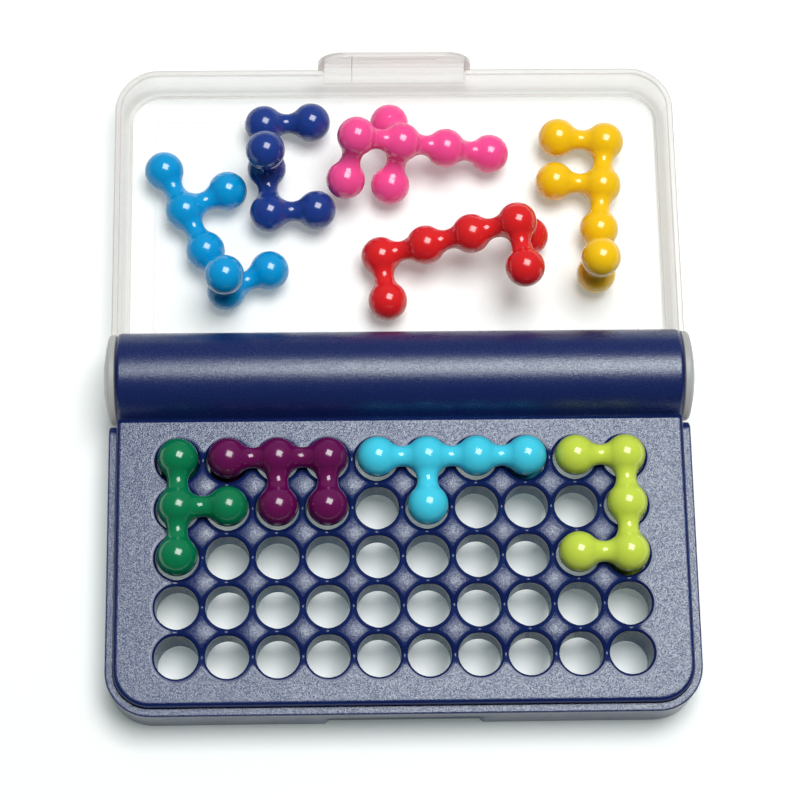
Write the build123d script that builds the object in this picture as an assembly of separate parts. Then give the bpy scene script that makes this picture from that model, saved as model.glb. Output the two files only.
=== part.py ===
from build123d import *
from math import asin, cos, hypot, radians, sin, sqrt
import os

# Pocket logic puzzle game, lying open on a table, in millimetres.
# A board with bores for linked balls sits in a frame, and a clear lid is hinged to its barrel.
# The origin is the bottom centre of the open case. +X is to the right along the hinge,
# +Y runs from the front wall over the hinge to the far wall of the lid, and +Z is up.

# Slack used when edges are picked by their position, and how far a cut runs past what it cuts
TOLERANCE = 0.01
OVERCUT = 1.0

# Ball grid and the linked balls
PITCH = 12.0
ROWS = 5
COLUMNS = 10
BALL_R = 4.9
NECK_R = 2.5
REST_GAP = 0.1

# Hinge line, and how far each half reaches from it
HINGE_Z = 12.1
REACH = 83.2
TONGUE_REACH = 84.95
HINGE_Y = (REACH - TONGUE_REACH) / 2
CASE_WIDTH = 142.0
CORNER_R = 11.0

# Frame round the board
FRAME_TOP = 13.0
FRAME_BACK = HINGE_Y - 11.6
LEDGE = 1.85
FIT_GAP = 0.15
FLANGE_WIDTH = 3.0
FLANGE_T = 1.5
FRAME_END_R = 2.6
FRAME_EDGE_R = 0.45
GRIP_WIDTH = 38.0
GRIP_DEPTH = 0.9
LIP_Z = 8.5

# Board: plate, skirt and hinge barrel
BOARD_WIDTH = CASE_WIDTH - 2 * (LEDGE + FIT_GAP)
BOARD_FRONT = HINGE_Y - REACH + LEDGE + FIT_GAP
BOARD_TOP = 15.2
BOARD_CORNER_R = CORNER_R - LEDGE - FIT_GAP
BOARD_EDGE_R = 1.2
SKIRT_T = 1.6
PLATE_T = 1.8
BARREL_R = 11.5
COVE_R = 1.5
BARREL_WALL = 1.6
TROUGH_WIDTH = 16.0
END_WALL = 2.0
BARREL_BAYS = 4
RIB_T = 1.4

# Bores of the board and the tubes under them
GRID_Y = HINGE_Y - 45.4
BORE_R = 5.2
MOUTH_R = 0.7
TUBE_R = 6.15
TUBE_DEPTH = 8.4
CORNER_TUBE_Z = 1.8

# Grooves from bore to bore, where the necks of a piece lie, with shoulders that swell up to the plate
GROOVE_DEPTH = 0.6
GROOVE_R = NECK_R + 0.3
SHOULDER_R = 6.0
GROOVE_REACH = sqrt(2 * GROOVE_DEPTH * (GROOVE_R + SHOULDER_R) - GROOVE_DEPTH**2)

# Click ridges that hold the board in the frame
RIDGE_LENGTH = 10.0
RIDGE_HEIGHT = 1.0
RIDGE_OUT = 0.5
RIDGE_Z = 5.0
RIDGE_PLAY = 0.2

# Lid
FLOOR_T = 1.35
LID_WALL = 1.5
LID_DEPTH = 11.05
FLOOR_SETBACK = 5.5
FOOT_R = 3.4
FOOT_INNER_R = 2.2
RIM_R = 0.35
PANEL_INSET = 9.6
PANEL_R = 2.5
PANEL_DEPTH = 0.2

# Hinge ears and their pivot studs
EAR_R = 11.1
EAR_INNER_X = 69.2
EAR_OUTER_X = 72.0
EAR_DOME_R = 40.0
EAR_CROWN = 0.35
EAR_EDGE_R = 0.8
STUD_R = 2.5
STUD_LENGTH = 3.2
STUD_TIP = 0.5
STUD_HOLE_R = 2.56
BOSS_R = 5.0
BOSS_LENGTH = 2.4

# Latch tongue at the far wall of the lid
TONGUE_WIDTH = 39.0
TONGUE_T = 1.2
TONGUE_TOP = 17.6
TONGUE_CORNER_R = 6.5
TONGUE_FOOT_Z = 4.4
TONGUE_FOOT_R = 1.2
POCKET_WIDTH = 36.4
POCKET_Z = 6.0
POCKET_CORNER_R = 2.5
HOOK_WIDTH = 21.0
HOOK_Z = 16.5
HOOK_HEIGHT = 1.8
HOOK_OUT = 0.45

# Resting heights of the balls
TRAY_BALL_Z = BOARD_TOP - GROOVE_DEPTH + NECK_R + REST_GAP
LID_BALL_Z = FLOOR_T + BALL_R + REST_GAP


def case_outline(near, far, width, corner_r, round_far):
    """Sketch of a rectangle from y near to y far, with its two outer corners rounded."""
    with BuildSketch() as outline:
        with Locations((0, (near + far) / 2)):
            Rectangle(width, far - near)
        end = -1 if round_far else 0
        fillet(outline.vertices().group_by(Axis.Y)[end], corner_r)
    return outline.sketch


def click_ridges(play):
    """Low ridges round the outside of the skirt, swollen by the play for the slots that take them."""
    length = RIDGE_LENGTH + 2 * play
    height = RIDGE_HEIGHT + 2 * play
    side_y = [GRID_Y + row * 2 * PITCH for row in (-1, 0, 1)]
    front_x = [column * 3 * PITCH for column in (-1, 0, 1)]
    with BuildPart() as ridges:
        with Locations(*[(0, y, RIDGE_Z) for y in side_y]):
            Box(BOARD_WIDTH + 2 * (RIDGE_OUT + play), length, height)
            Box(BOARD_WIDTH, length, height, mode=Mode.SUBTRACT)
        with Locations(*[(x, BOARD_FRONT, RIDGE_Z) for x in front_x]):
            Box(length, RIDGE_OUT + play, height, align=(Align.CENTER, Align.MAX, Align.CENTER))
    return ridges.part


def base_frame():
    """Frame that the board clicks into, with a flange under it and the catch lip over a grip recess."""
    front = HINGE_Y - REACH
    inner_front = front + LEDGE
    inner_width = CASE_WIDTH - 2 * LEDGE
    with BuildPart() as frame:
        add(case_outline(front, FRAME_BACK, CASE_WIDTH, CORNER_R, round_far=False))
        extrude(amount=FRAME_TOP)
        rear_edge = frame.edges().filter_by(Axis.X).group_by(Axis.Z)[-1].sort_by(Axis.Y)[-1]
        fillet(rear_edge, FRAME_END_R)
        outer_edges = frame.edges().group_by(Axis.Z)
        fillet(outer_edges[0] + outer_edges[-1], FRAME_EDGE_R)
        with BuildSketch(Plane.XY.offset(FLANGE_T)):
            inner_back = FRAME_BACK + LEDGE
            add(case_outline(inner_front, inner_back, inner_width, CORNER_R - LEDGE, round_far=False))
        extrude(amount=FRAME_TOP, mode=Mode.SUBTRACT)
        add(
            case_outline(
                inner_front + FLANGE_WIDTH,
                FRAME_BACK - FLANGE_WIDTH,
                inner_width - 2 * FLANGE_WIDTH,
                CORNER_R - LEDGE - FLANGE_WIDTH,
                round_far=False,
            )
        )
        extrude(amount=FLANGE_T, mode=Mode.SUBTRACT)
        with BuildSketch():
            with BuildLine():
                outer = GRIP_WIDTH / 2
                inner = outer - GRIP_DEPTH
                grip_y = front + GRIP_DEPTH
                Polyline((-outer, front), (outer, front), (inner, grip_y), (-inner, grip_y), close=True)
            make_face()
        extrude(amount=LIP_Z, mode=Mode.SUBTRACT)
        add(click_ridges(RIDGE_PLAY), mode=Mode.SUBTRACT)
    return frame.part


def groove(length):
    """Round-bottomed groove along +X over the board, with swelling shoulders, to be taken out of it."""
    join = GROOVE_R / (GROOVE_R + SHOULDER_R)
    join_y = GROOVE_REACH * join
    join_z = BOARD_TOP - GROOVE_DEPTH + GROOVE_R - (GROOVE_R + SHOULDER_R - GROOVE_DEPTH) * join
    half_turn = asin(GROOVE_REACH / (GROOVE_R + SHOULDER_R)) / 2
    swell_y = GROOVE_REACH - SHOULDER_R * sin(half_turn)
    swell_z = BOARD_TOP - SHOULDER_R + SHOULDER_R * cos(half_turn)
    over = BOARD_TOP + OVERCUT
    with BuildPart() as cutter:
        with BuildSketch(Plane.YZ):
            with BuildLine():
                ThreePointArc((-join_y, join_z), (0, BOARD_TOP - GROOVE_DEPTH), (join_y, join_z))
                ThreePointArc((join_y, join_z), (swell_y, swell_z), (GROOVE_REACH, BOARD_TOP))
                ThreePointArc((-join_y, join_z), (-swell_y, swell_z), (-GROOVE_REACH, BOARD_TOP))
                Polyline(
                    (GROOVE_REACH, BOARD_TOP),
                    (GROOVE_REACH, over),
                    (-GROOVE_REACH, over),
                    (-GROOVE_REACH, BOARD_TOP),
                )
            make_face()
        extrude(amount=length / 2, both=True)
    return cutter.part


def on_mouth(edge):
    """True for an edge that runs round the upper end of a bore."""
    centres = [location.position for location in GridLocations(PITCH, PITCH, COLUMNS, ROWS)]
    for share in (0, 0.5, 1):
        point = edge @ share
        from_centre = min(hypot(point.X - centre.X, point.Y - GRID_Y - centre.Y) for centre in centres)
        if abs(from_centre - BORE_R) > TOLERANCE or point.Z < BOARD_TOP - GROOVE_DEPTH - TOLERANCE:
            return False
    return True


def barrel_bay(length):
    """One hollow of the barrel: straight sides that draw downwards under a round crown."""
    with BuildPart() as bay:
        with BuildSketch(Plane.YZ):
            with Locations((HINGE_Y, HINGE_Z)):
                Circle(BARREL_R - BARREL_WALL)
                Rectangle(TROUGH_WIDTH, 2 * BARREL_R, mode=Mode.INTERSECT)
            with Locations((HINGE_Y, HINGE_Z / 2)):
                Rectangle(TROUGH_WIDTH, HINGE_Z)
        extrude(amount=length / 2, both=True)
    return bay.part


def board():
    """Bored plate, its skirt and the hinge barrel, moulded in one and open underneath."""
    half = BOARD_WIDTH / 2
    with BuildPart() as moulding:
        with BuildSketch(Plane.YZ) as section:
            with Locations((HINGE_Y, FLANGE_T)):
                Rectangle(HINGE_Y - BOARD_FRONT, BOARD_TOP - FLANGE_T, align=(Align.MAX, Align.MIN))
            with Locations((HINGE_Y, HINGE_Z)):
                Circle(BARREL_R)
            fillet(section.vertices().group_by(Axis.Y)[-1].sort_by(Axis.X)[-1], COVE_R)
        extrude(amount=half, both=True)
        upright_edges = moulding.edges().filter_by(Axis.Z)
        fillet(upright_edges.group_by(Axis.Y)[0], BOARD_CORNER_R)
        end_edges = moulding.edges().filter_by(lambda edge: edge.bounding_box().size.X < TOLERANCE)
        corner_end = BOARD_FRONT + BOARD_CORNER_R
        front_edges = moulding.edges().filter_by_position(Axis.Y, BOARD_FRONT - TOLERANCE, corner_end)
        outline = end_edges - end_edges.filter_by(Axis.Z) + front_edges.group_by(Axis.Z)[-1]
        fillet(outline, BOARD_EDGE_R)

        cavity_back = HINGE_Y - BARREL_R
        cavity_front = BOARD_FRONT + SKIRT_T
        cavity_width = BOARD_WIDTH - 2 * SKIRT_T
        add(case_outline(cavity_front, cavity_back, cavity_width, BOARD_CORNER_R - SKIRT_T, round_far=False))
        extrude(amount=BOARD_TOP - PLATE_T, mode=Mode.SUBTRACT)

        bay_length = (BOARD_WIDTH - 2 * END_WALL - (BARREL_BAYS - 1) * RIB_T) / BARREL_BAYS
        with GridLocations(bay_length + RIB_T, 0, BARREL_BAYS, 1):
            add(barrel_bay(bay_length), mode=Mode.SUBTRACT)

        tube_z = BOARD_TOP - TUBE_DEPTH
        with BuildSketch(Plane.XY.offset(tube_z)):
            with Locations((0, GRID_Y)):
                with GridLocations(PITCH, PITCH, COLUMNS, ROWS):
                    Circle(TUBE_R)
        extrude(amount=TUBE_DEPTH - PLATE_T)
        with BuildSketch(Plane.XY.offset(CORNER_TUBE_Z)):
            with Locations((0, GRID_Y)):
                with GridLocations((COLUMNS - 1) * PITCH, (ROWS - 1) * PITCH, 2, 2):
                    Circle(TUBE_R)
        extrude(amount=tube_z - CORNER_TUBE_Z)
        with Locations((0, GRID_Y)):
            with GridLocations(0, PITCH, 1, ROWS):
                add(groove((COLUMNS - 1) * PITCH), mode=Mode.SUBTRACT)
            with GridLocations(PITCH, 0, COLUMNS, 1):
                add(groove((ROWS - 1) * PITCH), rotation=(0, 0, 90), mode=Mode.SUBTRACT)
        with BuildSketch():
            with Locations((0, GRID_Y)):
                with GridLocations(PITCH, PITCH, COLUMNS, ROWS):
                    Circle(BORE_R)
        extrude(amount=BOARD_TOP, mode=Mode.SUBTRACT)
        fillet(moulding.edges().filter_by(on_mouth), MOUTH_R)

        for side in (-1, 1):
            face = Plane(origin=(side * half, HINGE_Y, HINGE_Z), z_dir=(-side, 0, 0))
            with BuildSketch(face.offset(END_WALL)):
                Circle(BOSS_R)
            extrude(amount=BOSS_LENGTH)
            with BuildSketch(face):
                Circle(STUD_HOLE_R)
            extrude(amount=END_WALL + BOSS_LENGTH, mode=Mode.SUBTRACT)
        add(click_ridges(0))
    return moulding.part


def ear():
    """Right-hand hinge ear: a disc with a domed outer face, and the pivot stud on its inner face."""
    with BuildPart() as turned:
        with Locations(Plane.YZ.offset(EAR_INNER_X)):
            Cylinder(EAR_R, EAR_OUTER_X - EAR_INNER_X, align=(Align.CENTER, Align.CENTER, Align.MIN))
        with Locations((EAR_OUTER_X + EAR_CROWN - EAR_DOME_R, 0, 0)):
            Sphere(EAR_DOME_R, rotation=(0, 0, 180), mode=Mode.INTERSECT)
        rim_x = EAR_OUTER_X + EAR_CROWN - EAR_DOME_R + sqrt(EAR_DOME_R**2 - EAR_R**2)
        rim_edge = turned.edges().filter_by_position(Axis.X, rim_x - TOLERANCE, rim_x + TOLERANCE)
        fillet(rim_edge, EAR_EDGE_R)
        with Locations(Plane.YZ.offset(EAR_INNER_X)):
            Cylinder(STUD_R, STUD_LENGTH, align=(Align.CENTER, Align.CENTER, Align.MAX))
        chamfer(turned.edges().group_by(Axis.X)[0], STUD_TIP)
    return Pos(0, HINGE_Y, HINGE_Z) * turned.part


def lid_hollow():
    """Space inside the lid, open at the rim and towards the hinge, with a rounded foot."""
    far = HINGE_Y + REACH - LID_WALL
    with BuildPart() as hollow:
        with BuildSketch(Plane.XY.offset(FLOOR_T)):
            add(case_outline(HINGE_Y, far, CASE_WIDTH - 2 * LID_WALL, CORNER_R - LID_WALL, round_far=True))
        extrude(amount=LID_DEPTH)
        foot_edges = hollow.edges().group_by(Axis.Z)[0].sort_by(Axis.Y)[1:]
        fillet(foot_edges, FOOT_INNER_R)
    return hollow.part


def latch_pocket():
    """Space behind the tongue, open upwards, which leaves the tongue thin and goes down into the wall."""
    face_y = HINGE_Y + TONGUE_REACH - TONGUE_T
    with BuildPart() as pocket:
        with BuildSketch(Plane.XZ.offset(-face_y)) as outline:
            with Locations((0, POCKET_Z)):
                Rectangle(POCKET_WIDTH, TONGUE_TOP, align=(Align.CENTER, Align.MIN))
            fillet(outline.vertices().group_by(Axis.Y)[0], POCKET_CORNER_R)
        extrude(amount=face_y - HINGE_Y - REACH + LID_WALL)
        with Locations((0, face_y, LID_DEPTH)):
            Box(TONGUE_WIDTH, face_y, TONGUE_TOP, align=(Align.CENTER, Align.MAX, Align.MIN))
    return pocket.part


def latch_tongue():
    """Plate that reaches up past the rim, stepped out from the far wall, with a low hook ridge inside."""
    wall_y = HINGE_Y + REACH
    face_y = HINGE_Y + TONGUE_REACH - TONGUE_T
    height = TONGUE_TOP - TONGUE_FOOT_Z
    with BuildPart() as tongue:
        with BuildSketch(Plane.XZ.offset(-wall_y)) as outline:
            with Locations((0, TONGUE_FOOT_Z)):
                Rectangle(TONGUE_WIDTH, height, align=(Align.CENTER, Align.MIN))
            fillet(outline.vertices().group_by(Axis.Y)[-1], TONGUE_CORNER_R)
        extrude(amount=wall_y - HINGE_Y - TONGUE_REACH)
        foot_edge = tongue.edges().filter_by(Axis.X).group_by(Axis.Z)[0].sort_by(Axis.Y)[-1]
        fillet(foot_edge, TONGUE_FOOT_R)
        add(latch_pocket(), mode=Mode.SUBTRACT)
        with BuildSketch(Plane.YZ):
            with BuildLine():
                low = (face_y, HOOK_Z - HOOK_HEIGHT / 2)
                high = (face_y, HOOK_Z + HOOK_HEIGHT / 2)
                ThreePointArc(low, (face_y - HOOK_OUT, HOOK_Z), high)
                Line(high, low)
            make_face()
        extrude(amount=HOOK_WIDTH / 2, both=True)
    return tongue.part


def lid():
    """Clear lid lying on its outside: floor, walls, hinge ears and the latch tongue."""
    near = HINGE_Y + FLOOR_SETBACK
    far = HINGE_Y + REACH
    with BuildPart() as moulding:
        add(case_outline(near, far, CASE_WIDTH, CORNER_R, round_far=True))
        extrude(amount=LID_DEPTH)
        foot_edges = moulding.edges().group_by(Axis.Z)[0].sort_by(Axis.Y)[1:]
        fillet(foot_edges, FOOT_R)
        add(lid_hollow(), mode=Mode.SUBTRACT)
        rim_edges = moulding.edges().group_by(Axis.Z)[-1]
        fillet(rim_edges - rim_edges.group_by(Axis.Y)[0], RIM_R)

        panel_near = near + PANEL_INSET
        panel_far = far - PANEL_INSET
        with BuildSketch():
            with Locations((0, (panel_near + panel_far) / 2)):
                RectangleRounded(CASE_WIDTH - 2 * PANEL_INSET, panel_far - panel_near, PANEL_R)
        extrude(amount=PANEL_DEPTH, mode=Mode.SUBTRACT)

        add(latch_pocket(), mode=Mode.SUBTRACT)
        add(latch_tongue())
        add(ear())
        add(mirror(ear(), about=Plane.YZ))
    return moulding.part


def neck():
    """Waisted link from the ball at the origin to the next one along +X, tangent to both balls."""
    half = PITCH / 2
    waist_arc_r = (half**2 + NECK_R**2 - BALL_R**2) / (2 * (BALL_R - NECK_R))
    to_tangent = BALL_R / (BALL_R + waist_arc_r)
    near_x = half * to_tangent
    near_r = (NECK_R + waist_arc_r) * to_tangent
    with BuildPart() as link:
        with BuildSketch(Plane.XZ):
            with BuildLine():
                ThreePointArc((near_x, near_r), (half, NECK_R), (PITCH - near_x, near_r))
                Polyline((PITCH - near_x, near_r), (PITCH - near_x, 0), (near_x, 0), (near_x, near_r))
            make_face()
        revolve(axis=Axis.X)
    return link.part


def puzzle_piece(run, sides, cross):
    """Balls in a straight run along +X, side balls along +Y from some of them and a cross ball along +Z."""
    run_balls = [Pos(PITCH * ball, 0, 0) for ball in range(run)]
    side_links = [run_balls[ball] * Rot(0, 0, 90) for ball in sides]
    cross_link = run_balls[cross] * Rot(0, -90, 0)
    links = run_balls[:-1] + side_links + [cross_link]
    ends = [link * Pos(PITCH, 0, 0) for link in side_links + [cross_link]]
    with BuildPart() as piece:
        with Locations(*run_balls, *ends):
            Sphere(BALL_R)
        with Locations(*links):
            add(neck())
    return piece.part


def in_board(row, column, run_dir, play):
    """Plane of a piece set in the board, from the bore of its first ball and how far it lies off its centre.

    Its cross ball points down.
    """
    x = (column - (COLUMNS + 1) / 2) * PITCH + play[0]
    y = GRID_Y - (row - (ROWS + 1) / 2) * PITCH + play[1]
    return Plane(origin=(x, y, TRAY_BALL_Z), x_dir=run_dir, z_dir=(0, 0, -1))


def in_lid(x, from_hinge, heading):
    """Plane of a piece lying flat in the lid, with its run turned by the heading and its cross ball up."""
    run_dir = (cos(radians(heading)), sin(radians(heading)), 0)
    return Plane(origin=(x, HINGE_Y + from_hinge, LID_BALL_Z), x_dir=run_dir, z_dir=(0, 0, 1))


def on_run_end(x, from_hinge, heading):
    """Plane of a piece propped up by its cross ball, so that its run climbs 1 in 3 from the first ball."""
    forward = (cos(radians(heading)), sin(radians(heading)))
    run_dir = (3 * forward[0], 3 * forward[1], 1)
    cross_dir = (forward[0], forward[1], -3)
    return Plane(origin=(x, HINGE_Y + from_hinge, LID_BALL_Z), x_dir=run_dir, z_dir=cross_dir)


def on_three_tips(x, from_hinge):
    """Plane of a piece lying on the tips of its run, one side ball and its cross ball, first ball up."""
    origin = (x, HINGE_Y + from_hinge, LID_BALL_Z + PITCH)
    return Plane(origin=origin, x_dir=(2 * sqrt(2), 0, -1), z_dir=(-1, 3, -2 * sqrt(2)))


# Each piece: balls in its run, run balls with a side ball, run ball with the cross ball, and its place
PIECES = {
    "green_piece": (3, [1], 2, in_board(3, 1, (0, 1, 0), (0.15, 0))),
    "purple_piece": (3, [1, 2], 0, in_board(1, 2, (1, 0, 0), (0.15, 0))),
    "cyan_piece": (4, [1], 3, in_board(1, 5, (1, 0, 0), (0.15, 0))),
    "lime_piece": (3, [0, 2], 2, in_board(1, 10, (0, -1, 0), (0.1, 0))),
    "sky_piece": (4, [1, 3], 3, in_lid(-58.75, 57.4, -63.8)),
    "blue_piece": (3, [0, 2], 1, in_lid(-33.4, 69.95, -87.0)),
    "yellow_piece": (4, [2, 3], 0, in_lid(50.2, 28.95, 84.5)),
    "red_piece": (4, [0, 3], 3, on_run_end(-4.1, 34.0, 7.8)),
    "pink_piece": (4, [0, 1], 1, on_three_tips(-9.9, 61.65)),
}

os.makedirs("parts", exist_ok=True)
solids = {"base_frame": base_frame(), "board": board(), "lid": lid()}
for name, (run, sides, cross, place) in PIECES.items():
    solids[name] = place.location * puzzle_piece(run, sides, cross)
for name, solid in solids.items():
    export_step(solid, f"parts/{name}.step")
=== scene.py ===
from math import cos, radians, sin, sqrt

import bpy
from mathutils import Matrix, Vector


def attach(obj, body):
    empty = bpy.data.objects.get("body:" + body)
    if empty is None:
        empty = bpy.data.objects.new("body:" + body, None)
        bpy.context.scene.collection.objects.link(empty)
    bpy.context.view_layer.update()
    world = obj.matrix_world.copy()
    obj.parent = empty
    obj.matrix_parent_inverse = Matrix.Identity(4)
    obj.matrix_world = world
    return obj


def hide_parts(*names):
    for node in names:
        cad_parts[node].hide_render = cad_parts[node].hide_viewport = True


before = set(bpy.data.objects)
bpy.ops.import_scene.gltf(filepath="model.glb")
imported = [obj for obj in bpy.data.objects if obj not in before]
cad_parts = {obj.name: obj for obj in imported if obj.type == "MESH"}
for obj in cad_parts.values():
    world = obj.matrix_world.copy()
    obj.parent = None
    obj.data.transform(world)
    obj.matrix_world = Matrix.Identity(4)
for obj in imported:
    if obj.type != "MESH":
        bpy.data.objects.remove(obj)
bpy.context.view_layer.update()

# Logic puzzle game: a bored navy board with a round hinge barrel, a clear lid, and pieces of linked balls.
# Everything is in metres, in the frame of the solids. Sizes in millimetres are turned by MM.
MM = 0.001

# Sizes shared with the solids, in millimetres
PITCH = 12.0
ROWS = 5
COLUMNS = 10
BALL_R = 4.9
NECK_R = 2.5
TRAY_BALL_Z = 17.2
LID_BALL_Z = 6.35
HINGE_Y = -0.875
HINGE_Z = 12.1
CASE_WIDTH = 142.0
CORNER_R = 11.0
REACH = 83.2
FRAME_TOP = 13.0
BOARD_TOP = 15.2
BARREL_R = 11.5
GRID_Y = HINGE_Y - 45.4
BORE_R = 5.2
MOUTH_R = 0.7
FAR_WALL = HINGE_Y + REACH
FLOOR_T = 1.35
FLOOR_SETBACK = 5.5
LID_WALL = 1.5
LID_DEPTH = 11.05
PANEL_INSET = 9.6
PANEL_R = 2.5
EAR_INNER_X = 69.2
TONGUE_WIDTH = 39.0
TONGUE_TOP = 17.6
TONGUE_CORNER_R = 6.5
TONGUE_FACE = FAR_WALL + 1.75
POCKET_WIDTH = 36.4
POCKET_Z = 6.0
MOULD_LINE_X = -10.85

# A neck's profile is an arc that leaves one ball and meets the next without a corner
ARC_R = ((PITCH / 2) ** 2 + NECK_R**2 - BALL_R**2) / (2 * (BALL_R - NECK_R))
NECK_LENGTH = PITCH * ARC_R / (BALL_R + ARC_R)

# Widths of the patterns in the plastics, and how far some of them stand out, in millimetres
GRAIN_WIDTH = 0.32
GRAIN_DEPTH = 0.08
WEAR_WIDTH = 9.0
CUSHION_SWELL = 1.1
FLOW_WIDTH = 6.0
HAZE_WIDTH = 5.0
RIPPLE_WIDTH = 2.2
RIPPLE_DEPTH = 0.2

# Share of the plate's grain that the barrel has
BARREL_SHARE = 0.55


def linear(hex_colour):
    """Linear RGBA of an sRGB colour written in hex."""
    parts = [int(hex_colour[i : i + 2], 16) / 255 for i in (1, 3, 5)]
    return [c / 12.92 if c <= 0.04045 else ((c + 0.055) / 1.055) ** 2.4 for c in parts] + [1.0]


def add_node(tree, kind, inputs=None, **settings):
    """Adds a node with its settings. Inputs give a socket its value or the output that feeds it."""
    made = tree.nodes.new(kind)
    for name, value in settings.items():
        setattr(made, name, value)
    for socket, value in (inputs or {}).items():
        if isinstance(value, bpy.types.NodeSocket):
            tree.links.new(value, made.inputs[socket])
        else:
            made.inputs[socket].default_value = value
    return made


def new_material(name, **plain):
    """Material of one Principled shader that has these plain values, with its tree and the shader."""
    material = bpy.data.materials.new(name)
    material.use_nodes = True
    tree = material.node_tree
    tree.nodes.clear()
    shader = add_node(tree, "ShaderNodeBsdfPrincipled", {k.replace("_", " "): v for k, v in plain.items()})
    add_node(tree, "ShaderNodeOutputMaterial", {"Surface": shader.outputs["BSDF"]})
    return material, tree, shader


# Places on a piece, from its Object coordinates

def object_place(tree):
    """Object coordinates as a vector and as its three parts."""
    place = add_node(tree, "ShaderNodeTexCoord").outputs["Object"]
    return place, add_node(tree, "ShaderNodeSeparateXYZ", {0: place}).outputs


def soft_step(tree, value, zero_at, one_at):
    """Zero up to one place and one beyond the other, smooth between them. Both are in millimetres."""
    limits = {"Value": value, "From Min": zero_at * MM, "From Max": one_at * MM}
    return add_node(tree, "ShaderNodeMapRange", limits, interpolation_type="SMOOTHSTEP").outputs["Result"]


def band(tree, value, low, high, fade=0.3):
    """One between two places and zero outside them, with soft ends. All are in millimetres."""
    return product(tree, soft_step(tree, value, low - fade, low), soft_step(tree, value, high + fade, high))


def product(tree, first, *others):
    """Masks and amounts multiplied together."""
    for other in others:
        first = add_node(tree, "ShaderNodeMath", {0: first, 1: other}, operation="MULTIPLY").outputs[0]
    return first


def beyond(tree, value, limit):
    """How far a place lies over a limit in millimetres, or zero."""
    over = add_node(tree, "ShaderNodeMath", {0: value, 1: limit * MM}, operation="SUBTRACT").outputs[0]
    return add_node(tree, "ShaderNodeMath", {0: over, 1: 0.0}, operation="MAXIMUM").outputs[0]


def distance(tree, across, along, centre=(0.0, 0.0)):
    """Distance of a point from a centre, worked out from two coordinates of each."""
    point = add_node(tree, "ShaderNodeCombineXYZ", {"X": across, "Y": along}).outputs[0]
    ends = {0: point, 1: (*centre, 0.0)}
    return add_node(tree, "ShaderNodeVectorMath", ends, operation="DISTANCE").outputs["Value"]


# Materials

def moulded_ball_plastic(colour, name):
    """High-gloss ABS, injection moulded in a polished tool and dyed through.

    The eye sees an even deep colour, a crisp lamp highlight with a faintly wavy edge, and a trace of
    handling haze that changes the gloss a little from place to place.
    """
    material, tree, shader = new_material(
        name, Base_Color=linear(colour), IOR=1.54, Specular_IOR_Level=0.6
    )
    place = add_node(tree, "ShaderNodeTexCoord").outputs["Object"]
    haze = add_node(
        tree,
        "ShaderNodeTexNoise",
        {"Vector": place, "Scale": 1 / (HAZE_WIDTH * MM), "Detail": 3.0, "Roughness": 0.6},
    )
    gloss = add_node(
        tree,
        "ShaderNodeMapRange",
        {"Value": haze.outputs["Fac"], "From Min": 0.3, "From Max": 0.7, "To Min": 0.1, "To Max": 0.2},
    )
    tree.links.new(gloss.outputs["Result"], shader.inputs["Roughness"])
    ripple = add_node(
        tree,
        "ShaderNodeTexNoise",
        {"Vector": place, "Scale": 1 / (RIPPLE_WIDTH * MM), "Detail": 1.0},
    )
    bump = add_node(
        tree,
        "ShaderNodeBump",
        {"Height": ripple.outputs["Fac"], "Strength": 0.06, "Distance": RIPPLE_DEPTH * MM},
    )
    tree.links.new(bump.outputs["Normal"], shader.inputs["Normal"])
    return material


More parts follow.
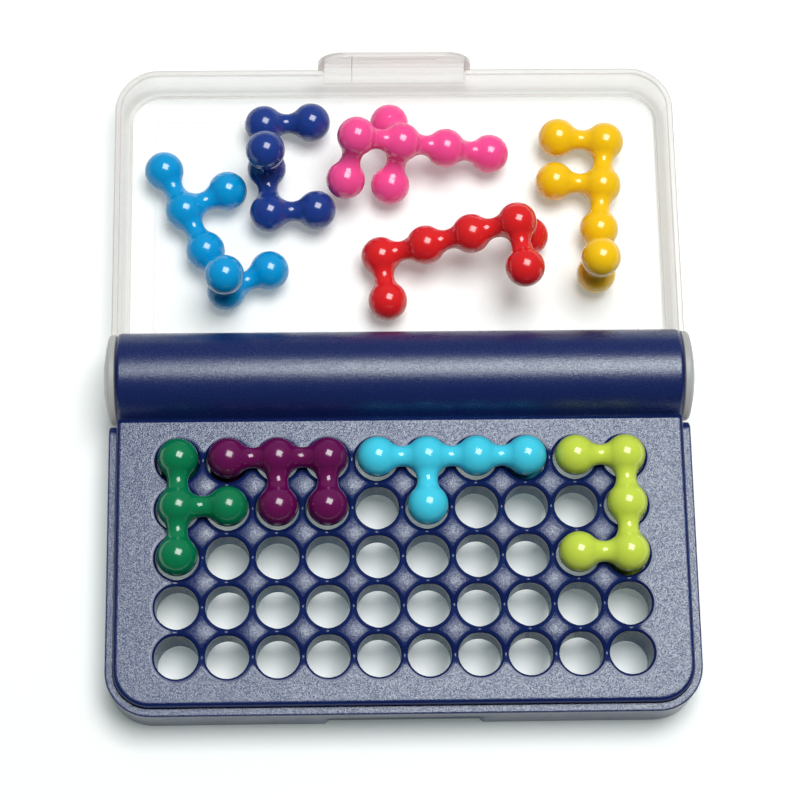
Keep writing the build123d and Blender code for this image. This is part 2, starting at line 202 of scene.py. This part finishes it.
def navy_abs(name, faces):
    """Navy ABS, injection moulded. The tool's open faces are spark eroded, the rest of it is polished.

    The eye sees a silvery speckle where the grained faces mirror the lamp, and smooth dark blue along
    every rounded edge. The bores' walls are painted teal, a painted reflection that stands in for the light
    of the white table under them, which the thin walls reflect and let through. The real grain is about
    0.1 mm, too fine to show, so it is drawn 0.32 mm wide.
    """
    material, tree, shader = new_material(name, IOR=1.65, Specular_Tint=linear("#f6fefc"))
    place, at = object_place(tree)
    grained, in_bore, swell = faces(tree, at)
    grain = add_node(
        tree,
        "ShaderNodeTexNoise",
        {"Vector": place, "Scale": 1 / (GRAIN_WIDTH * MM), "Detail": 2.0, "Roughness": 0.6},
    ).outputs["Fac"]
    height = add_node(
        tree,
        "ShaderNodeMath",
        {0: grain, 1: product(tree, grained, GRAIN_DEPTH * MM), 2: swell},
        operation="MULTIPLY_ADD",
    ).outputs[0]
    bump = add_node(tree, "ShaderNodeBump", {"Height": height, "Strength": 1.0, "Distance": 1.0})
    tree.links.new(bump.outputs["Normal"], shader.inputs["Normal"])

    wear = add_node(
        tree,
        "ShaderNodeTexNoise",
        {"Vector": place, "Scale": 1 / (WEAR_WIDTH * MM), "Detail": 3.0},
    ).outputs["Fac"]
    polish = add_node(
        tree,
        "ShaderNodeMapRange",
        {"Value": wear, "From Min": 0.3, "From Max": 0.7, "To Min": 0.16, "To Max": 0.26},
    ).outputs["Result"]
    roughness = add_node(tree, "ShaderNodeMix", {"Factor": grained, "A": polish, "B": 0.34})
    tree.links.new(roughness.outputs["Result"], shader.inputs["Roughness"])

    # The grains mirror the lamp one by one, the rounded edges shine less, and the bores' walls hardly
    speck = add_node(
        tree,
        "ShaderNodeMapRange",
        {"Value": grain, "From Min": 0.38, "From Max": 0.62, "To Min": 0.3, "To Max": 0.92},
    ).outputs["Result"]
    smooth = add_node(tree, "ShaderNodeMix", {"Factor": in_bore, "A": 0.26, "B": 0.04}).outputs["Result"]
    shine = add_node(tree, "ShaderNodeMix", {"Factor": grained, "A": smooth, "B": speck})
    tree.links.new(shine.outputs["Result"], shader.inputs["Specular IOR Level"])

    navy = add_node(
        tree,
        "ShaderNodeMix",
        {"Factor": product(tree, grain, grained), "A": linear("#0f2159"), "B": linear("#152865")},
        data_type="RGBA",
    ).outputs["Result"]
    # Painted light: the bores' walls take a teal base colour that stands in for the table's light, which the
    # walls reflect and let through
    colour = add_node(
        tree,
        "ShaderNodeMix",
        {"Factor": in_bore, "A": navy, "B": linear("#2a6385")},
        data_type="RGBA",
    )
    tree.links.new(colour.outputs["Result"], shader.inputs["Base Color"])
    return material


def board_faces(tree, at):
    """Where the board is grained, where its bores are, and the swell of the cushions between them, in metres.

    The grain covers the flat of the plate outside the bores' rings. It is shallower on the barrel.
    """

    def from_nearest(axis, centre, count):
        """Distance along one axis to the nearest of so many rows or columns, in pitches."""
        counted = {0: at[axis], 1: 1 / (PITCH * MM), 2: (count - 1) / 2 - centre / PITCH}
        number = add_node(tree, "ShaderNodeMath", counted, operation="MULTIPLY_ADD").outputs[0]
        whole = add_node(tree, "ShaderNodeMath", {0: number}, operation="ROUND").outputs[0]
        nearest = add_node(tree, "ShaderNodeClamp", {"Value": whole, "Min": 0, "Max": count - 1}).outputs[0]
        return add_node(tree, "ShaderNodeMath", {0: number, 1: nearest}, operation="SUBTRACT").outputs[0]

    def fade(pitches):
        """One in the middle of a cushion and zero at its ends, half a pitch away, without a corner."""
        share = {0: 1.0, 1: product(tree, pitches, pitches, 4.0)}
        rest = add_node(tree, "ShaderNodeMath", share, operation="SUBTRACT", use_clamp=True).outputs[0]
        return product(tree, rest, rest)

    across, along = from_nearest("X", 0, COLUMNS), from_nearest("Y", GRID_Y, ROWS)
    from_bore = product(tree, distance(tree, across, along), PITCH * MM)
    in_bore = product(
        tree,
        soft_step(tree, from_bore, BORE_R + 0.25, BORE_R + 0.05),
        soft_step(tree, at["Z"], BOARD_TOP - MOUTH_R, BOARD_TOP - MOUTH_R - 0.8),
    )
    barrel_front = HINGE_Y - BARREL_R
    plate = product(
        tree,
        soft_step(tree, from_bore, BORE_R + MOUTH_R, BORE_R + MOUTH_R + 0.5),
        soft_step(tree, at["Z"], BOARD_TOP - 0.2, BOARD_TOP - 0.02),
        soft_step(tree, at["Y"], barrel_front - 0.2, barrel_front - 0.6),
    )
    from_axis = distance(tree, at["Y"], at["Z"], (HINGE_Y * MM, HINGE_Z * MM))
    behind_plate = soft_step(tree, at["Y"], barrel_front + 0.1, barrel_front + 0.5)
    barrel = soft_step(tree, product(tree, from_axis, behind_plate), BARREL_R - 0.25, BARREL_R - 0.05)
    either = {0: plate, 1: product(tree, barrel, BARREL_SHARE)}
    grained = add_node(tree, "ShaderNodeMath", either, operation="MAXIMUM").outputs[0]
    swell = product(
        tree,
        fade(from_nearest("X", 0, COLUMNS - 1)),
        fade(from_nearest("Y", GRID_Y, ROWS - 1)),
        CUSHION_SWELL * MM,
    )
    return grained, in_bore, swell


def frame_faces(tree, at):
    """The frame is grained on the flat of its ledge, short of the rounded edges. It has no bore or swell."""
    return soft_step(tree, at["Z"], FRAME_TOP - 0.25, FRAME_TOP - 0.05), 0.0, 0.0


def clear_lid_plastic():
    """Natural polypropylene, injection moulded thin, clear with a warm milky haze.

    The eye sees through the floor almost freely. The walls glow pale with a painted glow, an emission that
    stands in for the light that scatters inside them, with darker lines along the edges of the rim and the
    latch tongue and a painted shadow line along their foot, where the lid meets the table. The thick ears
    turn grey.
    """
    # The emission colour is for a painted glow, which stands in for the light that scatters inside the walls
    material, tree, shader = new_material(
        "milky_clear_polypropylene", IOR=1.49, Emission_Color=linear("#f4efe9")
    )
    place, at = object_place(tree)
    sideways = add_node(tree, "ShaderNodeMath", {0: at["X"]}, operation="ABSOLUTE").outputs[0]

    def from_corner(side_shift=0.0, far_shift=0.0):
        """Distance from the centres of the lid's corners, which the two shifts move outwards."""
        return distance(
            tree,
            beyond(tree, sideways, CASE_WIDTH / 2 - CORNER_R + side_shift),
            beyond(tree, at["Y"], FAR_WALL - CORNER_R + far_shift),
        )

    # Walls, a painted shadow line along their foot where the lid meets the table, and the floor by the far
    # wall, which is hazier there, partly from its own haze and partly from painted shade
    wall = soft_step(tree, from_corner(-0.6, 1.2), CORNER_R - 3.3, CORNER_R - 1.9)
    # Painted shadow: a dark line where the lid's foot meets the table
    foot_shadow_line = product(
        tree,
        band(tree, from_corner(far_shift=0.6), CORNER_R - 3.5, CORNER_R - 3.0),
        soft_step(tree, at["Z"], 1.0, 0.6),
    )
    # The floor grows hazier and darker over the last millimetres before the far wall, partly its own haze and
    # partly painted shade
    floor_haze_and_shade = product(
        tree,
        soft_step(tree, at["Y"], FAR_WALL - 7.0, FAR_WALL - 2.5),
        soft_step(tree, at["Z"], FLOOR_T + 0.65, FLOOR_T - 0.05),
    )

    # Rim, with a line along its outer edge and a fainter one along its inner edge
    rim = soft_step(tree, at["Z"], LID_DEPTH - 0.45, LID_DEPTH - 0.15)
    outline = from_corner()
    outer_edge = band(tree, outline, CORNER_R - 0.2, CORNER_R + 0.1, 0.15)
    inner_edge = band(tree, outline, CORNER_R - LID_WALL - 0.1, CORNER_R - LID_WALL + 0.2, 0.15)
    both_edges = {0: inner_edge, 1: 0.6, 2: outer_edge}
    rim_edges = product(
        tree,
        band(tree, at["Z"], LID_DEPTH - 0.85, LID_DEPTH + 0.05),
        add_node(tree, "ShaderNodeMath", both_edges, operation="MULTIPLY_ADD").outputs[0],
    )

    # Edge of the raised panel under the floor
    panel_middle = (HINGE_Y + FLOOR_SETBACK + FAR_WALL) / 2
    panel_y = {0: at["Y"], 1: panel_middle * MM}
    from_middle = add_node(tree, "ShaderNodeMath", panel_y, operation="SUBTRACT").outputs[0]
    lengthways = add_node(tree, "ShaderNodeMath", {0: from_middle}, operation="ABSOLUTE").outputs[0]
    panel = distance(
        tree,
        beyond(tree, sideways, CASE_WIDTH / 2 - PANEL_INSET - PANEL_R),
        beyond(tree, lengthways, FAR_WALL - panel_middle - PANEL_INSET - PANEL_R),
    )
    panel_edge = band(tree, panel, PANEL_R - 0.1, PANEL_R + 0.1, 0.15)

    # Latch tongue: its outline, the mould line to the left of its middle, and the pocket before it
    tongue = soft_step(tree, at["Z"], LID_DEPTH + 0.05, LID_DEPTH + 0.25)
    behind_pocket = product(
        tree,
        soft_step(tree, at["Z"], POCKET_Z - 0.2, POCKET_Z),
        soft_step(tree, at["Y"], FAR_WALL - LID_WALL + 0.1, FAR_WALL - LID_WALL + 0.3),
    )
    tongue_outline = distance(
        tree,
        beyond(tree, sideways, TONGUE_WIDTH / 2 - TONGUE_CORNER_R),
        beyond(tree, at["Z"], TONGUE_TOP - TONGUE_CORNER_R),
    )
    tongue_edge = product(
        tree, behind_pocket, band(tree, tongue_outline, TONGUE_CORNER_R - 1.2, TONGUE_CORNER_R + 0.2)
    )
    tongue_back = product(
        tree, tongue_edge, soft_step(tree, at["Y"], TONGUE_FACE - 0.35, TONGUE_FACE - 0.15)
    )
    mould_line = product(
        tree, behind_pocket, band(tree, at["X"], MOULD_LINE_X - 0.1, MOULD_LINE_X + 0.1, 0.15)
    )
    pocket_front = product(
        tree,
        band(tree, at["Y"], FAR_WALL - LID_WALL - 0.2, FAR_WALL - LID_WALL + 0.2, 0.1),
        soft_step(tree, sideways, POCKET_WIDTH / 2, POCKET_WIDTH / 2 - 0.2),
        band(tree, at["Z"], POCKET_Z - 0.7, POCKET_Z - 0.1, 0.15),
    )
    pocket_side = product(
        tree,
        band(tree, sideways, POCKET_WIDTH / 2 - 0.3, POCKET_WIDTH / 2 + 0.1, 0.15),
        soft_step(tree, at["Z"], POCKET_Z - 0.3, POCKET_Z),
        soft_step(tree, at["Y"], FAR_WALL - LID_WALL - 0.3, FAR_WALL - LID_WALL - 0.1),
    )

    # Each part adds its share of haze to the thin clear floor's own
    haze = 0.06
    facing = add_node(tree, "ShaderNodeLayerWeight", {"Blend": 0.35}).outputs["Facing"]
    for part, share in (
        (facing, 0.07),
        (wall, 0.24),
        # painted shadow line along the walls' foot
        (foot_shadow_line, 0.42),
        # partly haze and partly painted shade by the far wall
        (floor_haze_and_shade, 0.06),
        (rim, 0.24),
        (rim_edges, 0.3),
        (panel_edge, 0.1),
        (tongue, -0.05),
        (tongue_edge, 0.18),
        (tongue_back, 0.4),
        (mould_line, 0.14),
        (pocket_front, 0.2),
        (pocket_side, 0.05),
    ):
        added = {0: part, 1: share, 2: haze}
        haze = add_node(tree, "ShaderNodeMath", added, operation="MULTIPLY_ADD").outputs[0]

    # Painted glow: the walls get an emission that stands in for the light that scatters inside them,
    # and the lines less of it
    full_painted_glow, lost_in_lines = 0.396, 0.18
    dark = foot_shadow_line
    for part in (rim_edges, tongue_back, mould_line, pocket_front, pocket_side):
        dark = add_node(tree, "ShaderNodeMath", {0: dark, 1: part}, operation="MAXIMUM").outputs[0]
    glow = {0: dark, 1: -lost_in_lines, 2: full_painted_glow}
    painted_wall_glow = add_node(tree, "ShaderNodeMath", glow, operation="MULTIPLY_ADD").outputs[0]
    flow = add_node(
        tree,
        "ShaderNodeTexNoise",
        {"Vector": place, "Scale": 1 / (FLOW_WIDTH * MM), "Detail": 2.0},
    )
    gloss = add_node(
        tree,
        "ShaderNodeMapRange",
        {"Value": flow.outputs["Fac"], "To Min": 0.14, "To Max": 0.26},
    ).outputs["Result"]

    # The ears end where they run into the walls
    ear_end = 9.0
    ear = product(
        tree,
        soft_step(tree, sideways, EAR_INNER_X - 0.3, EAR_INNER_X),
        soft_step(tree, at["Y"], ear_end + 2.0, ear_end),
    )
    # The ears get their own colour, haze and gloss, and less of the painted glow
    for socket, walls, ears in (
        ("Alpha", haze, 0.95),
        ("Emission Strength", painted_wall_glow, 0.12),
        ("Roughness", gloss, 0.45),
    ):
        either = add_node(tree, "ShaderNodeMix", {"Factor": ear, "A": walls, "B": ears})
        tree.links.new(either.outputs["Result"], shader.inputs[socket])
    colour = add_node(
        tree,
        "ShaderNodeMix",
        {"Factor": ear, "A": linear("#a6a39f"), "B": linear("#979c9a")},
        data_type="RGBA",
    )
    tree.links.new(colour.outputs["Result"], shader.inputs["Base Color"])
    return material


for node, material in (
    ("board", navy_abs("navy_abs_board", board_faces)),
    ("base_frame", navy_abs("navy_abs_frame", frame_faces)),
    ("lid", clear_lid_plastic()),
):
    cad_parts[node].material_slots[0].material = material


# Linked balls

def linked_balls_tree():
    """Geometry nodes that put a ball on each point and a waisted neck between them on each edge."""
    tree = bpy.data.node_groups.new("linked_balls", "GeometryNodeTree")
    sockets = {}
    for name, kind in (
        ("Links", "NodeSocketGeometry"),
        ("Ball radius", "NodeSocketFloat"),
        ("Waist radius", "NodeSocketFloat"),
        ("Arc radius", "NodeSocketFloat"),
        ("Neck length", "NodeSocketFloat"),
        ("Plastic", "NodeSocketMaterial"),
    ):
        sockets[name] = tree.interface.new_socket(name, in_out="INPUT", socket_type=kind)
    tree.interface.new_socket("Piece", in_out="OUTPUT", socket_type="NodeSocketGeometry")
    given = add_node(tree, "NodeGroupInput").outputs

    ball = add_node(tree, "GeometryNodeMeshIcoSphere", {"Radius": given["Ball radius"], "Subdivisions": 5})
    balls = add_node(
        tree,
        "GeometryNodeInstanceOnPoints",
        {"Points": given["Links"], "Instance": ball.outputs["Mesh"]},
    )

    # The tube's radius along the neck is the waist and the arc's radius, less the arc's height there
    tube = add_node(
        tree,
        "GeometryNodeMeshCylinder",
        {"Vertices": 40, "Side Segments": 14, "Radius": 1.0, "Depth": given["Neck length"]},
        fill_type="NONE",
    )
    position = add_node(tree, "GeometryNodeInputPosition").outputs[0]
    at = add_node(tree, "ShaderNodeSeparateXYZ", {0: position}).outputs
    arc_r = given["Arc radius"]
    squares = {0: product(tree, arc_r, arc_r), 1: product(tree, at["Z"], at["Z"])}
    square = add_node(tree, "ShaderNodeMath", squares, operation="SUBTRACT").outputs[0]
    rise = add_node(tree, "ShaderNodeMath", {0: square}, operation="SQRT").outputs[0]
    radii = {0: given["Waist radius"], 1: arc_r}
    arc_centre = add_node(tree, "ShaderNodeMath", radii, operation="ADD").outputs[0]
    radius = add_node(tree, "ShaderNodeMath", {0: arc_centre, 1: rise}, operation="SUBTRACT").outputs[0]
    waisted = add_node(
        tree,
        "ShaderNodeCombineXYZ",
        {"X": product(tree, at["X"], radius), "Y": product(tree, at["Y"], radius), "Z": at["Z"]},
    )
    neck = add_node(
        tree,
        "GeometryNodeSetPosition",
        {"Geometry": tube.outputs["Mesh"], "Position": waisted.outputs["Vector"]},
    )

    # Each edge carries its direction over to the point where its neck is put
    ends = add_node(tree, "GeometryNodeInputMeshEdgeVertices").outputs
    run = add_node(
        tree,
        "ShaderNodeVectorMath",
        {0: ends["Position 2"], 1: ends["Position 1"]},
        operation="SUBTRACT",
    )
    kept = add_node(tree, "GeometryNodeCaptureAttribute", domain="EDGE")
    kept.capture_items.new("VECTOR", "Run")
    tree.links.new(given["Links"], kept.inputs["Geometry"])
    tree.links.new(run.outputs[0], kept.inputs["Run"])
    middles = add_node(
        tree,
        "GeometryNodeMeshToPoints",
        {"Mesh": kept.outputs["Geometry"]},
        mode="EDGES",
    )
    turned = add_node(tree, "FunctionNodeAlignRotationToVector", {"Vector": kept.outputs["Run"]}, axis="Z")
    necks = add_node(
        tree,
        "GeometryNodeInstanceOnPoints",
        {
            "Points": middles.outputs["Points"],
            "Instance": neck.outputs["Geometry"],
            "Rotation": turned.outputs[0],
        },
    )
    joined = add_node(tree, "GeometryNodeJoinGeometry", {"Geometry": balls.outputs["Instances"]})
    tree.links.new(necks.outputs["Instances"], joined.inputs["Geometry"])
    plain = add_node(tree, "GeometryNodeRealizeInstances", {"Geometry": joined.outputs["Geometry"]})
    smooth = add_node(tree, "GeometryNodeSetShadeSmooth", {"Geometry": plain.outputs["Geometry"]})
    dyed = add_node(
        tree,
        "GeometryNodeSetMaterial",
        {"Geometry": smooth.outputs["Geometry"], "Material": given["Plastic"]},
    )
    add_node(tree, "NodeGroupOutput", {"Piece": dyed.outputs["Geometry"]})
    return tree, {name: socket.identifier for name, socket in sockets.items()}


def placed(origin, run_dir, cross_dir):
    """Matrix of a piece from its first ball's centre, its run and the way its cross ball points."""
    run = Vector(run_dir).normalized()
    cross = Vector(cross_dir).normalized()
    side = cross.cross(run)
    turn = Matrix((run, side, cross)).transposed().to_4x4()
    return Matrix.Translation(Vector(origin)) @ turn


def in_board(row, column, run_dir, play):
    """Place of a piece set in the board, from the bore of its first ball. Its cross ball points down.

    The play is how far the piece lies to the right of its bores, in millimetres.
    """
    x = (column - (COLUMNS + 1) / 2) * PITCH + play
    y = GRID_Y - (row - (ROWS + 1) / 2) * PITCH
    return placed((x, y, TRAY_BALL_Z), run_dir, (0, 0, -1))


def in_lid(x, from_hinge, heading):
    """Place of a piece lying flat in the lid, with its run turned by the heading and its cross ball up."""
    run_dir = (cos(radians(heading)), sin(radians(heading)), 0)
    return placed((x, HINGE_Y + from_hinge, LID_BALL_Z), run_dir, (0, 0, 1))


def on_run_end(x, from_hinge, heading):
    """Place of a piece propped up by its cross ball, so that its run climbs 1 in 3."""
    forward = (cos(radians(heading)), sin(radians(heading)))
    run_dir = (3 * forward[0], 3 * forward[1], 1)
    return placed((x, HINGE_Y + from_hinge, LID_BALL_Z), run_dir, (forward[0], forward[1], -3))


def on_three_tips(x, from_hinge):
    """Place of a piece that lies on the tips of its run, one side ball and its cross ball."""
    origin = (x, HINGE_Y + from_hinge, LID_BALL_Z + PITCH)
    return placed(origin, (2 * sqrt(2), 0, -1), (-1, 3, -2 * sqrt(2)))


# Each piece: its dye, how many balls its run has, which of them have a side ball, which one has the cross
# ball, and its place
PIECES = {
    "green": ("#027a4d", 3, [1], 2, in_board(3, 1, (0, 1, 0), 0.15)),
    "purple": ("#640c4f", 3, [1, 2], 0, in_board(1, 2, (1, 0, 0), 0.15)),
    "cyan": ("#45d4f0", 4, [1], 3, in_board(1, 5, (1, 0, 0), 0.15)),
    "lime": ("#cbe14e", 3, [0, 2], 2, in_board(1, 10, (0, -1, 0), 0.1)),
    "sky": ("#039cdd", 4, [1, 3], 3, in_lid(-58.75, 57.4, -63.8)),
    "blue": ("#1e3d8d", 3, [0, 2], 1, in_lid(-33.4, 69.95, -87.0)),
    "yellow": ("#fecb12", 4, [2, 3], 0, in_lid(50.2, 28.95, 84.5)),
    "red": ("#e22125", 4, [0, 3], 3, on_run_end(-4.1, 34.0, 7.8)),
    "pink": ("#fe529b", 4, [0, 1], 1, on_three_tips(-9.9, 61.65)),
}


def linked_balls(name, run, sides, cross, place, plastic, tree, sockets):
    """One puzzle piece as a plain mesh in its place."""
    centres = [Vector((PITCH * ball, 0, 0)) for ball in range(run)]
    links = [(ball, ball + 1) for ball in range(run - 1)]
    for ball in sides:
        links.append((ball, len(centres)))
        centres.append(centres[ball] + Vector((0, PITCH, 0)))
    links.append((cross, len(centres)))
    centres.append(centres[cross] + Vector((0, 0, PITCH)))
    skeleton = bpy.data.meshes.new(name)
    skeleton.from_pydata([place @ centre * MM for centre in centres], links, [])
    piece = bpy.data.objects.new(name, skeleton)
    bpy.context.scene.collection.objects.link(piece)
    nodes = piece.modifiers.new("linked_balls", "NODES")
    nodes.node_group = tree
    for size, value in (
        ("Ball radius", BALL_R),
        ("Waist radius", NECK_R),
        ("Arc radius", ARC_R),
        ("Neck length", NECK_LENGTH),
    ):
        nodes[sockets[size]] = value * MM
    nodes[sockets["Plastic"]] = plastic
    evaluated = piece.evaluated_get(bpy.context.evaluated_depsgraph_get())
    moulding = bpy.data.meshes.new_from_object(evaluated)
    piece.modifiers.clear()
    piece.data = moulding
    return piece


tree, sockets = linked_balls_tree()
for colour, (dye, run, sides, cross, place) in PIECES.items():
    plastic = moulded_ball_plastic(dye, f"{colour}_abs_gloss")
    piece = linked_balls(f"{colour}_linked_balls", run, sides, cross, place, plastic, tree, sockets)
    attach(piece, f"{colour}_piece")
    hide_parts(f"{colour}_piece")


# Table, light and camera

# Half the table's width in metres, and how much it shines of itself wherever it is seen or mirrored
TABLE_HALF = 6.0
TABLE_LIFT = 0.17


def table():
    """Plain white table top, far wider than the view."""
    material, tree, shader = new_material(
        "white_table",
        Base_Color=linear("#f5f7f6"),
        Roughness=0.9,
        Specular_IOR_Level=0.1,
        Emission_Color=linear("#ecfffc"),
    )
    ray = add_node(tree, "ShaderNodeLightPath").outputs
    seen = ray["Is Camera Ray"]
    for mirrored in ("Is Glossy Ray", "Is Transmission Ray"):
        seen = add_node(tree, "ShaderNodeMath", {0: seen, 1: ray[mirrored]}, operation="MAXIMUM").outputs[0]
    tree.links.new(product(tree, seen, TABLE_LIFT), shader.inputs["Emission Strength"])

    # A hair below the case, so that the table and the lid's underside are not one surface
    down = -0.05 * MM
    corners = [(x * TABLE_HALF, y * TABLE_HALF, down) for x, y in ((-1, -1), (1, -1), (1, 1), (-1, 1))]
    mesh = bpy.data.meshes.new("table")
    mesh.from_pydata(corners, [], [(0, 1, 2, 3)])
    mesh.materials.append(material)
    top = bpy.data.objects.new("table", mesh)
    bpy.context.scene.collection.objects.link(top)


def softbox(name, centre, size, watts, roll):
    """Flat lamp that looks at the middle of the case, turned by the roll in degrees."""
    lamp = bpy.data.lights.new(name, "AREA")
    lamp.shape = "RECTANGLE"
    lamp.size, lamp.size_y = size
    lamp.energy = watts
    held = bpy.data.objects.new(name, lamp)
    towards_case = -Vector(centre)
    aim = towards_case.to_track_quat("-Z", "Y").to_matrix().to_4x4()
    held.matrix_world = Matrix.Translation(centre) @ aim @ Matrix.Rotation(radians(roll), 4, "Z")
    bpy.context.scene.collection.objects.link(held)


def studio_world():
    """Soft white surroundings, brighter on the lid's side."""
    world = bpy.data.worlds.new("studio_white")
    world.use_nodes = True
    tree = world.node_tree
    direction = add_node(tree, "ShaderNodeTexCoord").outputs["Generated"]
    backwards = add_node(tree, "ShaderNodeSeparateXYZ", {0: direction}).outputs["Y"]
    glow = add_node(
        tree,
        "ShaderNodeMapRange",
        {"Value": backwards, "From Min": -0.2, "From Max": 1.0, "To Min": 0.07, "To Max": 0.21},
    ).outputs["Result"]
    background = tree.nodes["Background"]
    background.inputs["Color"].default_value = linear("#ffffff")
    tree.links.new(glow, background.inputs["Strength"])
    bpy.context.scene.world = world


def camera():
    """Camera above the case's front, placed by measures of the bores and the case's straight edges."""
    # Angles are in radians
    elevation, azimuth, roll = 1.275837, 0.094890, 0.081926
    focal_px, half_frame = 2437.91, 400
    origin_px = Vector((403.239, 556.409))
    distance_mm = 584.306
    grid_centre = Vector((0.08, GRID_Y, 14.1))
    look = Vector((sin(azimuth) * cos(elevation), cos(azimuth) * cos(elevation), -sin(elevation)))
    level = Vector((cos(azimuth), -sin(azimuth), 0))
    rise = level.cross(look)
    right = cos(roll) * level + sin(roll) * rise
    up = cos(roll) * rise - sin(roll) * level
    offset = (origin_px.x - half_frame) / focal_px * right - (origin_px.y - half_frame) / focal_px * up
    centre = grid_centre - distance_mm * (look + offset)
    lens = bpy.data.cameras.new("photo_view")
    lens.sensor_width = 36.0
    lens.lens = focal_px / (2 * half_frame) * lens.sensor_width
    lens.clip_start = 0.01
    held = bpy.data.objects.new("photo_view", lens)
    held.matrix_world = Matrix.Translation(centre * MM) @ Matrix((right, up, -look)).transposed().to_4x4()
    bpy.context.scene.collection.objects.link(held)
    bpy.context.scene.camera = held


table()
softbox("overhead_softbox", centre=(0.2, 0.2, 1.25), size=(0.72, 0.72), watts=16.4, roll=25)
studio_world()
bpy.context.scene.view_settings.view_transform = "Standard"
camera()
